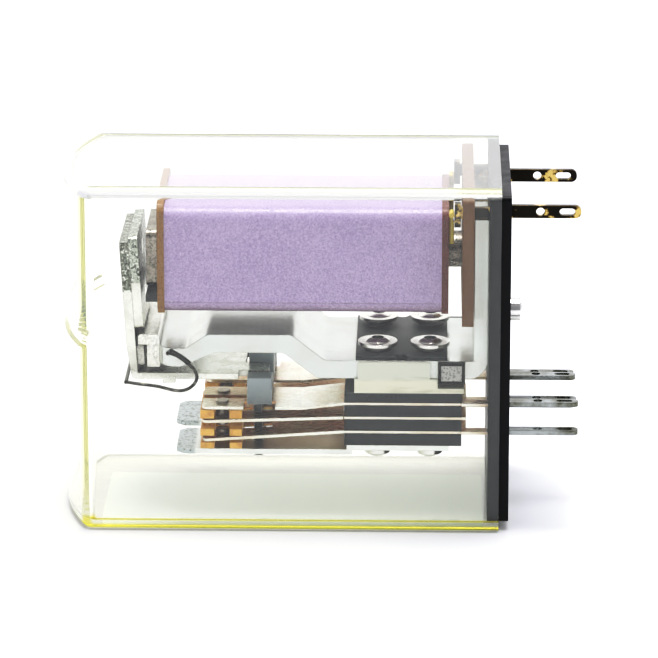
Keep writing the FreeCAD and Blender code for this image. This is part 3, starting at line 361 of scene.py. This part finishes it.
def spring_metal():
    """Nickel-silver strip: bright and pale, with painted brown shade and reflection in the gaps,
    silver-grey outside the base.
    """
    look = Look("spring_strip")
    edge, rounded = look.edge(0.06)
    lines = look.noise(14, 2, 0.6, (0.06, 1, 1))
    tarnish = look.noise(0.33, 4, 0.6, (1, 0.7, 1))
    tint = look.mix(look.span(tarnish, 0.45, 0.65, 0, 0.6), (0.86, 0.86, 0.78), (0.66, 0.56, 0.38))
    # Painted shade and reflection: brown where the strips lie in narrow gaps.
    brown = look.mix(look.span(look.noise(0.5, 4), 0.4, 0.6), (0.38, 0.14, 0.02), (0.32, 0.22, 0.06))
    tint = look.mix(look.span(look.shelter(2.4), 0.85, 0.45), tint, brown)
    outside = look.span(look.axis("X"), *BLADES_X)
    tint = look.mix(outside, tint, look.mix(look.span(tarnish, 0.4, 0.6), (0.36, 0.38, 0.37),
                                            (0.12, 0.12, 0.09)))
    # Edges: pale inside the base; near-black painted shaded outlines on the blades outside it.
    edge_wear_and_shade = look.mix(outside, (0.92, 0.91, 0.85), (0.015, 0.015, 0.01))
    tint = look.mix(look.math("MULTIPLY", edge, look.span(outside, 0, 1, 0.5, 1.0)), tint, edge_wear_and_shade)
    return look.surface({"Base Color": tint, "Metallic": 1.0,
                         "Roughness": look.span(lines, 0.3, 0.7, 0.2, 0.34),
                         "Normal": look.bump(lines, 0.004, rounded)})


def lever_metal(name, zone_z, ground):
    """Plated leaf: pale, with a dark mottled zone above a height in millimetres; painted shade darkens
    narrow gaps and paints dark outlines along the edges.
    """
    look = Look(name)
    edge, rounded = look.edge(0.09)
    clouds = look.noise(0.5, 5, 0.6)
    curls = look.noise(2.6, 4, 0.6, (1, 1, 1), 2.0)
    tint = look.mix(look.span(clouds, 0.45, 0.7, 0, 0.5), (0.84, 0.85, 0.78), (0.52, 0.52, 0.42))
    marks = look.mix(look.span(curls, 0.5, 0.56), ground, (0.02, 0.022, 0.018))
    marks = look.mix(look.span(curls, 0.44, 0.38), marks, (0.80, 0.82, 0.78))
    tint = look.mix(look.span(look.axis("Z"), zone_z, zone_z + 0.15, 0, 0.92), tint, marks)
    # Painted shade: darker in narrow gaps, and dark painted outlines along the edges.
    tint = look.mix(look.span(look.shelter(2.0), 0.8, 0.35, 0, 0.75), tint, (0.05, 0.05, 0.04))
    tint = look.mix(look.math("MULTIPLY", edge, 0.75), tint, (0.07, 0.075, 0.06))
    return look.surface({"Base Color": tint, "Metallic": 0.9,
                         "Roughness": look.span(clouds, 0.3, 0.7, 0.2, 0.34),
                         "Normal": look.bump(curls, 0.01, rounded)})


def clamp_metal():
    """Clamp plates: silvery, with a greyer scratched field at the free end, and painted shade in narrow
    gaps.
    """
    look = Look("clamp_steel")
    edge, rounded = look.edge(0.1)
    clouds = look.noise(0.4, 5, 0.6)
    tint = look.mix(look.span(clouds, 0.45, 0.7, 0, 0.4), (0.82, 0.85, 0.82), (0.55, 0.56, 0.50))
    end = look.span(look.axis("X"), *CLAMP_END_X)
    scratches = look.noise(2.2, 3, 0.5, (1, 1, 1), 1.5)
    field = look.mix(look.span(scratches, 0.54, 0.58), (0.36, 0.41, 0.44), (0.06, 0.07, 0.07))
    tint = look.mix(look.math("MULTIPLY", end, 0.85), tint, field)
    # Painted shade: brownish dark in narrow gaps.
    tint = look.mix(look.span(look.shelter(1.6), 0.8, 0.35, 0, 0.7), tint, (0.10, 0.07, 0.03))
    tint = look.mix(look.math("MULTIPLY", edge, 0.6), tint, (0.90, 0.92, 0.88))
    return look.surface({"Base Color": tint, "Metallic": 1.0, "Roughness": 0.28,
                         "Normal": look.bump(clouds, 0.01, rounded)})


def coil_blade_metal():
    """Coil terminals: dark bronze skin worn through to brass in a few patches."""
    look = Look("bronzed_brass")
    edge, rounded = look.edge(0.08)
    patches = look.noise(0.7, 4, 0.6)
    worn = look.math("MAXIMUM", look.span(patches, 0.56, 0.62), look.math("MULTIPLY", edge, 0.35))
    tint = look.mix(worn, (0.03, 0.026, 0.02), (0.66, 0.48, 0.18))
    return look.surface({"Base Color": tint, "Metallic": 1.0,
                         "Roughness": look.span(patches, 0.3, 0.7, 0.42, 0.25),
                         "Normal": look.bump(look.noise(12, 3), 0.008, rounded)})


def dark_wire():
    """Blued steel wire of the return spring, worn bright along a few streaks."""
    look = Look("dark_wire")
    streaks = look.noise(2.5, 4, 0.6, (0.3, 1, 1))
    tint = look.mix(look.span(streaks, 0.55, 0.7), (0.035, 0.035, 0.03), (0.3, 0.29, 0.26))
    return look.surface({"Base Color": tint, "Metallic": 1.0, "Roughness": 0.32,
                         "Normal": look.bump(streaks, 0.004)})


def amber_plastic():
    """Amber moulding with some subsurface scattering, and a weak painted glow: emission of its own
    colour over the whole part, standing in for light through its thin layers.
    """
    look = Look("guide_amber")
    edge, rounded = look.edge(0.1)
    clouds = look.noise(0.9, 4, 0.6)
    body = look.mix(look.span(clouds, 0.35, 0.65), (0.55, 0.24, 0.035), (0.85, 0.48, 0.09))
    body = look.mix(look.math("MULTIPLY", edge, 0.5), body, (0.95, 0.7, 0.25))
    return look.surface({"Base Color": body, "Roughness": look.span(clouds, 0.3, 0.7, 0.25, 0.4),
                         "Subsurface Weight": 0.35, "Subsurface Radius": (0.001, 0.0006, 0.0002),
                         "Subsurface Scale": 0.6, "Emission Color": body, "Emission Strength": 0.12,
                         "Normal": look.bump(look.noise(8, 3), 0.01, rounded)})


def pale_plastic():
    """Spacers: cream body, greener and more marked on the lip over the yoke's edge."""
    look = Look("pale_spacer")
    edge, rounded = look.edge(0.15)
    lines = look.noise(1.6, 5, 0.7, (0.15, 1, 1))
    body = look.mix(look.span(look.axis("Z"), *SPACER_LIP_Z), (0.95, 0.93, 0.76), (0.82, 0.85, 0.74))
    body = look.mix(look.span(lines, 0.55, 0.68, 0, 0.4), body, (0.42, 0.44, 0.30))
    body = look.mix(look.math("MULTIPLY", edge, 0.6), body, (0.98, 0.98, 0.94))
    return look.surface({"Base Color": body, "Roughness": 0.4,
                         "Normal": look.bump(lines, 0.015, rounded)})


def grey_plastic():
    """Grey-blue comb: lighter towards its top, darker towards the lower edge."""
    look = Look("comb_grey")
    edge, rounded = look.edge(0.15)
    mottle = look.noise(0.9, 5, 0.7)
    body = look.mix(look.span(look.axis("Z"), *COMB_BODY_Z), (0.16, 0.19, 0.20), (0.34, 0.40, 0.44))
    body = look.mix(look.span(look.axis("Z"), *COMB_FOOT_Z), body, (0.03, 0.035, 0.035))
    body = look.mix(look.span(mottle, 0.4, 0.7, 0, 0.3), body, (0.46, 0.5, 0.52))
    body = look.mix(look.math("MULTIPLY", edge, 0.5), body, (0.8, 0.84, 0.86))
    return look.surface({"Base Color": body, "Roughness": look.span(mottle, 0.3, 0.7, 0.3, 0.45),
                         "Normal": look.bump(look.noise(10, 3), 0.012, rounded)})


def grained_nut():
    look = Look("nut_core")
    grains = look.cells(5)
    tint = look.mix(look.span(grains, 0.05, 0.5), (0.08, 0.085, 0.09), (0.55, 0.55, 0.54))
    return look.surface({"Base Color": tint, "Metallic": 0.6, "Roughness": 0.45,
                         "Normal": look.bump(grains, 0.05)})


def floor_paper():
    look = Look("floor_paper")
    fibre = look.noise(0.12, 3)
    tone = look.mix(look.span(fibre, 0.3, 0.7), (0.93, 0.935, 0.94), (0.95, 0.955, 0.96))
    return look.surface({"Base Color": tone, "Roughness": 0.9, "Specular IOR Level": 0.1})


def matt_label():
    """Blank film on the cap's lower side: pale grey-green, with painted shade that darkens it from the
    closed end towards the base, and a weak emission as painted light.
    """
    look = Look("matt_label")
    fibre = look.noise(3, 6, 0.75)
    # Painted shade: darker towards the base along the label; the emission is painted light lifting the
    # whole film.
    along = look.span(look.axis("X"), *LABEL_X)
    tone = look.mix(along, (0.93, 0.97, 0.94), (0.80, 0.86, 0.80))
    tone = look.mix(look.span(fibre, 0.35, 0.65, 0, 0.3), tone, (0.66, 0.70, 0.66))
    return look.surface({"Base Color": tone, "Roughness": 0.6, "Normal": look.bump(fibre, 0.01),
                         "Emission Color": (0.90, 1.0, 0.84), "Emission Strength": 0.15})


def make_looks():
    return {
        "clear_cap": clear_plastic(),
        "matt_label": matt_label(),
        "base_black": moulded("base_black", (0.004, 0.0045, 0.006), 0.42, 0.012, 0.25, wear=(6, 0.4)),
        "plated_steel": plated("plated_steel", (0.62, 0.65, 0.63), 0.16, brush=(0.15, 1, 1), painted_gap_shade=0.5,
                               edge_wear_and_shade=(0.05, 0.05, 0.04)),
        "lever_steel": lever_metal("lever_steel", LEVER_DARK_Z, (0.16, 0.18, 0.14)),
        "leaf_steel": lever_metal("leaf_steel", LEAF_DARK_Z, (0.42, 0.46, 0.40)),
        "bearing_steel": plated("bearing_steel", (0.84, 0.84, 0.78), 0.24, (0.4, 0.38, 0.3), 0.4,
                                speckle=0.35, painted_gap_shade=0.9, edge_wear_and_shade=(0.06, 0.06, 0.045)),
        "magnet_iron": plated("magnet_iron", (0.34, 0.31, 0.27), 0.3, (0.07, 0.05, 0.035), 0.8,
                              speckle=0.9, edge_wear_and_shade=(0.7, 0.68, 0.6)),
        "bobbin_brown": pressed_board(),
        "copper_wire": copper_winding(),
        "violet_wrap": violet_tape(),
        "brown_board": laminate("brown_board", (0.13, 0.06, 0.022), (0.21, 0.11, 0.045)),
        "clamp_steel": clamp_metal(),
        "washer_steel": plated("washer_steel", (0.88, 0.87, 0.84), 0.2, (0.3, 0.26, 0.2), 0.4,
                               painted_gap_shade=0.5),
        "bronzed_brass": coil_blade_metal(),
        "lead_sleeve": moulded("lead_sleeve", (0.75, 0.58, 0.10), 0.42, 0.008, 0.12),
        "insulator_black": laminate("insulator_black", (0.014, 0.017, 0.019),
                                    (0.040, 0.046, 0.050), 0.4),
        "spring_strip": spring_metal(),
        "dark_wire": dark_wire(),
        "contact_silver": plated("contact_silver", (0.5, 0.47, 0.42), 0.2, (0.2, 0.14, 0.08), 0.5,
                                 painted_gap_shade=0.8),
        "stud_steel": plated("stud_steel", (0.86, 0.85, 0.82), 0.18, (0.5, 0.45, 0.36), 0.3),
        "pale_spacer": pale_plastic(),
        "comb_grey": grey_plastic(),
        "guide_amber": amber_plastic(),
        "nut_dark": moulded("nut_dark", (0.006, 0.005, 0.003), 0.5, 0.02, 0.3, wear=(8, 0.4)),
        "nut_core": grained_nut(),
    }


LOOK_OF_NODE = {
    "cover_cap": "clear_cap",
    "side_label": "matt_label",
    "base_plate": "base_black",
    "guide_stud": "stud_steel",
    "yoke": "plated_steel",
    "core": "magnet_iron",
    "pole_shoe": "magnet_iron",
    "bobbin": "bobbin_brown",
    "coil_winding": "copper_wire",
    "coil_wrap": "violet_wrap",
    "coil_terminal_plate": "brown_board",
    "coil_terminal_front": "bronzed_brass",
    "coil_terminal_rear": "bronzed_brass",
    "coil_leads": "lead_sleeve",
    "stop_block": "insulator_black",
    "armature_lever": "lever_steel",
    "armature_plate": "leaf_steel",
    "armature_rivets": "stud_steel",
    "armature_bearing_pad": "bearing_steel",
    "bearing_bracket": "bearing_steel",
    "return_spring": "dark_wire",
    "drive_comb": "comb_grey",
    "break_contacts": "contact_silver",
    "make_contacts": "contact_silver",
    "moving_contacts_front": "contact_silver",
    "moving_contacts_rear": "contact_silver",
    "stack_spacers": "pale_spacer",
    "stack_insulators": "insulator_black",
    "stack_rivets": "washer_steel",
    "rivet_washers": "washer_steel",
    "yoke_insulating_sheet": "insulator_black",
    "contact_guide_blocks": "guide_amber",
    "clamp_nuts": "nut_dark",
    "clamp_pins": "nut_core",
    "break_spring_front": "spring_strip",
    "break_spring_rear": "spring_strip",
    "make_spring_front": "spring_strip",
    "make_spring_rear": "spring_strip",
    "common_terminal_front": "spring_strip",
    "common_terminal_rear": "spring_strip",
    "moving_spring_front": "spring_strip",
    "moving_spring_rear": "spring_strip",
    "clamp_plate_front": "clamp_steel",
    "clamp_plate_rear": "clamp_steel",
}


def dress_nodes(looks):
    for name, look in LOOK_OF_NODE.items():
        node = NODES[name]
        for slot in node.material_slots:
            slot.material = looks[look]


# ---------------------------------------------------------------- cap
CAP_WALL = 0.7 * MM
CAP_RADIUS = 0.9 * MM
CAP_INNER_RADIUS = 0.4 * MM
DOME_RISE = 2.2 * MM           # bulge of the closed end
GROOVE_Z = 1.75 * MM
GROOVE_HALF = 0.6 * MM
GROOVE_DEPTH = 0.3 * MM
GROOVE_STEPS = (-1.2, -1, -0.8, -0.6, -0.3, 0, 0.3, 0.6, 0.8, 1, 1.2)
EDGE_STEPS = 7                 # grid steps over half of a rounded edge


def edge_stations(radius):
    """Distances from a box edge that end up evenly spaced round its rounded corner."""
    return [radius * (1 - math.tan(math.pi / 4 * (1 - i / EDGE_STEPS))) for i in range(EDGE_STEPS + 1)]


def stations(low, high, radius, fill, extra=()):
    """Grid lines across a rounded box: close together over both edges, even between them."""
    near = [low + d for d in edge_stations(radius)]
    far = [high - d for d in edge_stations(radius)]
    span = high - low - 2 * radius
    middle = [low + radius + span * i / fill for i in range(1, fill)]
    lines = sorted(near + far + middle + list(extra))
    kept = [lines[0]]
    for line in lines[1:]:
        if line - kept[-1] > 1e-6:
            kept.append(line)
    return kept


def dome_rise(y, half_y):
    radius = (half_y ** 2 + DOME_RISE ** 2) / (2 * DOME_RISE)
    return math.sqrt(max(radius ** 2 - y ** 2, 0)) - (radius - DOME_RISE)


def vertex_layer(bm, name):
    layers = bm.verts.layers.float
    return layers.get(name) or layers.new(name)


def cap_skin(bm, mouth_x, end_x, half_y, half_z, radius, groove):
    """One skin of the cap: four rounded walls and a domed end, open at the mouth."""
    groove_lines = [GROOVE_Z + GROOVE_HALF * s for s in GROOVE_STEPS]
    ys = stations(-half_y, half_y, radius, 24)
    zs = stations(-half_z, half_z, radius, 16, groove_lines)
    top_edge = vertex_layer(bm, "top_edge")
    rounded = vertex_layer(bm, "rounded")
    xs = [end_x + d for d in edge_stations(radius)]
    xs += [end_x + radius + (mouth_x - end_x - radius) * i / 12 for i in range(1, 13)]

    def skin(x, y, z):
        anchor = Vector((max(x, end_x + radius), max(-half_y + radius, min(half_y - radius, y)),
                         max(-half_z + radius, min(half_z - radius, z))))
        outward = (Vector((x, y, z)) - anchor).normalized()
        point = anchor + outward * radius
        share = (mouth_x - point.x) / (mouth_x - end_x)
        point.x -= dome_rise(point.y, half_y) * share
        if groove:
            away = (abs(point.z - GROOVE_Z) / GROOVE_HALF - 0.6) / 0.4
            away = max(0.0, min(1.0, away))
            point.x += GROOVE_DEPTH * (1 - away * away * (3 - 2 * away)) * max(0.0, -outward.x) ** 0.5
        vertex = bm.verts.new(point)
        vertex[rounded] = min(1.0, (1 - max(abs(part) for part in outward)) / 0.12)
        if outward.z > 0.05:
            vertex[top_edge] = vertex[rounded]
        return vertex

    def sheet(rows, columns, place, flip):
        grid = [[place(r, c) for c in columns] for r in rows]
        for i in range(len(rows) - 1):
            for j in range(len(columns) - 1):
                corners = [grid[i][j], grid[i + 1][j], grid[i + 1][j + 1], grid[i][j + 1]]
                bm.faces.new(corners[::-1] if flip else corners)

    sheet(ys, zs, lambda y, z: skin(end_x, y, z), True)
    for side in (-1, 1):
        sheet(xs, zs, lambda x, z: skin(x, side * half_y, z), side > 0)
        sheet(xs, ys, lambda x, y: skin(x, y, side * half_z), side < 0)


def make_cap(looks):
    """Clear cap as one closed skin: outside, inside and the rim round the mouth."""
    low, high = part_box("cover_cap")
    half_y = high.y
    half_z = high.z
    end_x = low.x + DOME_RISE
    bm = bmesh.new()
    cap_skin(bm, high.x, end_x, half_y, half_z, CAP_RADIUS, True)
    outside = set(bm.faces)
    cap_skin(bm, high.x, end_x + CAP_WALL, half_y - CAP_WALL, half_z - CAP_WALL,
             CAP_INNER_RADIUS, False)
    inside = [face for face in bm.faces if face not in outside]
    bmesh.ops.reverse_faces(bm, faces=inside)
    bmesh.ops.remove_doubles(bm, verts=bm.verts, dist=1e-7)
    rim = [edge for edge in bm.edges if edge.is_boundary]
    bmesh.ops.bridge_loops(bm, edges=rim)
    bmesh.ops.recalc_face_normals(bm, faces=bm.faces)
    for face in bm.faces:
        face.smooth = True
    for edge in bm.edges:
        if edge.is_manifold and edge.calc_face_angle(0) > math.radians(40):
            edge.smooth = False
    cap = piece_from("cap_shell", bm, looks["clear_cap"])
    even = cap.modifiers.new("even_normals", "WEIGHTED_NORMAL")
    even.keep_sharp = True
    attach(cap, "cap")
    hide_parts("cover_cap")


def piece_from(name, bm, look):
    mesh = bpy.data.meshes.new(name)
    bm.to_mesh(mesh)
    bm.free()
    mesh.materials.append(look)
    piece = bpy.data.objects.new(name, mesh)
    bpy.context.scene.collection.objects.link(piece)
    return piece


# ---------------------------------------------------------------- coil details
TAPE_SEAM_Z = 4.0 * MM         # the outer turn of tape ends here on the near side
TAPE = 0.05 * MM


def make_tape_end(looks):
    """Last turn of tape on the coil's near side; its cut end waves slightly."""
    low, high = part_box("coil_wrap")
    top = high.z - 1.35 * MM
    bm = bmesh.new()
    columns = 60
    rows = 6
    grid = []
    for i in range(columns + 1):
        x = low.x + (high.x - low.x) * i / columns
        bottom = TAPE_SEAM_Z + 0.05 * MM * math.sin(i * 0.9) + 0.04 * MM * math.sin(i * 0.23 + 1)
        line = []
        for j in range(rows + 1):
            z = bottom + (top - bottom) * j / rows
            lift = TAPE * (1 - (j / rows) ** 6)
            line.append(bm.verts.new((x, low.y - lift, z)))
        grid.append(line)
    for i in range(columns):
        for j in range(rows):
            bm.faces.new([grid[i][j], grid[i + 1][j], grid[i + 1][j + 1], grid[i][j + 1]])
    lips = [bm.verts.new((line[0].co.x, low.y + TAPE, line[0].co.z)) for line in grid]
    for i in range(columns):
        bm.faces.new([lips[i], lips[i + 1], grid[i + 1][0], grid[i][0]])
    bmesh.ops.recalc_face_normals(bm, faces=bm.faces)
    tape = piece_from("tape_end", bm, looks["violet_wrap"])
    thick = tape.modifiers.new("thickness", "SOLIDIFY")
    thick.thickness = TAPE
    thick.offset = -1
    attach(tape, "frame")


def solder_blob(bm, centre, reach):
    """Lumpy drop of solder: a squashed ball whose surface bulges unevenly."""
    made = bmesh.ops.create_icosphere(bm, subdivisions=3, radius=1)
    for vertex in made["verts"]:
        x, y, z = vertex.co
        bulge = 1 + 0.12 * math.sin(5 * x + 3 * z) + 0.08 * math.cos(7 * y - 2 * x)
        vertex.co = centre + Vector((x * reach.x, y * reach.y, z * reach.z)) * bulge


def make_solder(looks):
    """Solder where each winding end meets its lug."""
    for name in ("front", "rear"):
        low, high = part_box("coil_terminal_" + name)
        bm = bmesh.new()
        centre = Vector((low.x + 0.1 * MM, (low.y + high.y) / 2, high.z - 1.35 * MM))
        solder_blob(bm, centre, Vector((0.22 * MM, 0.42 * MM, 0.3 * MM)))
        for face in bm.faces:
            face.smooth = True
        blob = piece_from("solder_" + name, bm, looks["stud_steel"])
        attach(blob, "frame")


# ---------------------------------------------------------------- staging
FLOOR_REACH = 3.0              # metres


def shade_world():
    """White sweep behind the relay, fading to a greyer room on the camera side."""
    world = bpy.data.worlds.new("studio")
    world.use_nodes = True
    bpy.context.scene.world = world
    tree = world.node_tree
    tree.nodes.clear()
    output = tree.nodes.new("ShaderNodeOutputWorld")
    background = tree.nodes.new("ShaderNodeBackground")
    coord = tree.nodes.new("ShaderNodeTexCoord")
    split = tree.nodes.new("ShaderNodeSeparateXYZ")
    ramp = tree.nodes.new("ShaderNodeValToRGB")
    depth = tree.nodes.new("ShaderNodeMapRange")
    depth.inputs["From Min"].default_value = -1.0
    depth.inputs["From Max"].default_value = 1.0
    stops = ramp.color_ramp.elements
    stops[0].position = 0.0
    stops[0].color = (ROOM_FRONT, ROOM_FRONT, ROOM_FRONT * 1.04, 1)
    stops[1].position = 0.85
    stops[1].color = (ROOM_BACK, ROOM_BACK, ROOM_BACK, 1)
    middle = stops.new(0.45)
    middle.color = (ROOM_SIDE, ROOM_SIDE, ROOM_SIDE * 1.02, 1)
    tree.links.new(coord.outputs["Generated"], split.inputs["Vector"])
    tree.links.new(split.outputs["Y"], depth.inputs["Value"])
    tree.links.new(depth.outputs["Result"], ramp.inputs["Fac"])
    tree.links.new(ramp.outputs["Color"], background.inputs["Color"])
    background.inputs["Strength"].default_value = 1.0
    tree.links.new(background.outputs["Background"], output.inputs["Surface"])


def soft_light(name, place, size, watts):
    light = bpy.data.lights.new(name, "AREA")
    light.shape = "RECTANGLE"
    light.size, light.size_y = size
    light.energy = watts
    lamp = bpy.data.objects.new(name, light)
    lamp.location = place
    lamp.rotation_euler = (CAMERA_TARGET - Vector(place)).to_track_quat("-Z", "Y").to_euler()
    lamp.visible_camera = False
    bpy.context.scene.collection.objects.link(lamp)


def make_floor():
    low = CAD_BOX[0][2]
    corners = [(x * FLOOR_REACH, y * FLOOR_REACH, low) for x, y in ((-1, -1), (1, -1), (1, 1), (-1, 1))]
    mesh = bpy.data.meshes.new("floor")
    mesh.from_pydata(corners, [], [(0, 1, 2, 3)])
    floor = bpy.data.objects.new("floor", mesh)
    floor.data.materials.append(floor_paper())
    bpy.context.scene.collection.objects.link(floor)


def make_camera():
    camera_data = bpy.data.cameras.new("camera")
    camera_data.lens = CAMERA_LENS
    camera_data.sensor_width = CAMERA_SENSOR
    camera_data.clip_start = 0.01
    camera = bpy.data.objects.new("camera", camera_data)
    forward = Vector((math.sin(CAMERA_YAW) * math.cos(CAMERA_TILT),
                      math.cos(CAMERA_YAW) * math.cos(CAMERA_TILT),
                      -math.sin(CAMERA_TILT)))
    camera.location = CAMERA_TARGET - forward * CAMERA_DISTANCE
    camera.rotation_euler = forward.to_track_quat("-Z", "Y").to_euler()
    bpy.context.scene.collection.objects.link(camera)
    bpy.context.scene.camera = camera


def set_contrast(view):
    """Deeper shadows and cleaner whites, as in a bright product photograph."""
    view.use_curve_mapping = True
    curve = view.curve_mapping.curves[3]
    for x, y in TONE_POINTS:
        curve.points.new(x, y)
    for x, y in BLUE_POINTS:
        view.curve_mapping.curves[2].points.new(x, y)
    view.curve_mapping.update()


def set_stage():
    scene = bpy.context.scene
    scene.view_settings.view_transform = "Standard"
    scene.view_settings.look = "None"
    set_contrast(scene.view_settings)
    scene.cycles.max_bounces = 64
    scene.cycles.transmission_bounces = 64
    scene.cycles.transparent_max_bounces = 32
    scene.cycles.glossy_bounces = 64
    shade_world()
    make_floor()
    soft_light("overhead", (0.02, 0.03, 0.6), (0.3, 0.3), 2.8)
    make_camera()


# ---------------------------------------------------------------- build
looks = make_looks()
dress_nodes(looks)
make_cap(looks)
make_tape_end(looks)
make_solder(looks)
set_stage()
